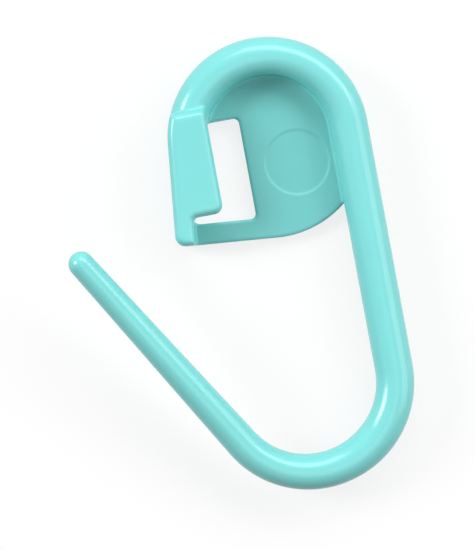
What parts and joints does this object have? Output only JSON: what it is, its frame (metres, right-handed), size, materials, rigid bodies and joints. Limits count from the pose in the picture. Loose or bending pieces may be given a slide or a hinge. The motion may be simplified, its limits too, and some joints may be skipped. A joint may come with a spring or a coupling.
{
  "type": "stitch marker",
  "caption": "Locking stitch marker shaped like a small safety pin, moulded in turquoise plastic: a round dished head with a catch, and a springy pin that snaps in under it.",
  "frame": {"origin": "middle of the head's flat front face", "axes": "+Z out of the head's dished back, +Y from the bow to the head along the spine, +X towards the spine, so the catch is at -X"},
  "size_m": [0.0158, 0.0226, 0.0051],
  "materials": {
    "moulding": "moulded gloss"
  },
  "bodies": {
    "clasp": {"head": "moulding", "catch": "moulding", "spine": "moulding"},
    "bow": {"bow": "moulding"},
    "pin": {"pin": "moulding"}
  },
  "joints": [
    {"name": "pin_lift", "type": "hinge", "parent": "clasp", "child": "bow", "pos_m": [0.00277, -0.01545, 0.0015], "axis": [0.7071, 0.7071, 0], "range_deg": [-10, 12], "stiffness_Nm_per_rad": 0.06},
    {"name": "pin_swing", "type": "hinge", "parent": "bow", "child": "pin", "pos_m": [0.00057, -0.0155, 0.00177], "axis": [0.1228, -0.1228, 0.9848], "range_deg": [-38, 30], "stiffness_Nm_per_rad": 0.08, "deforming": ["bow"]}
  ]
}
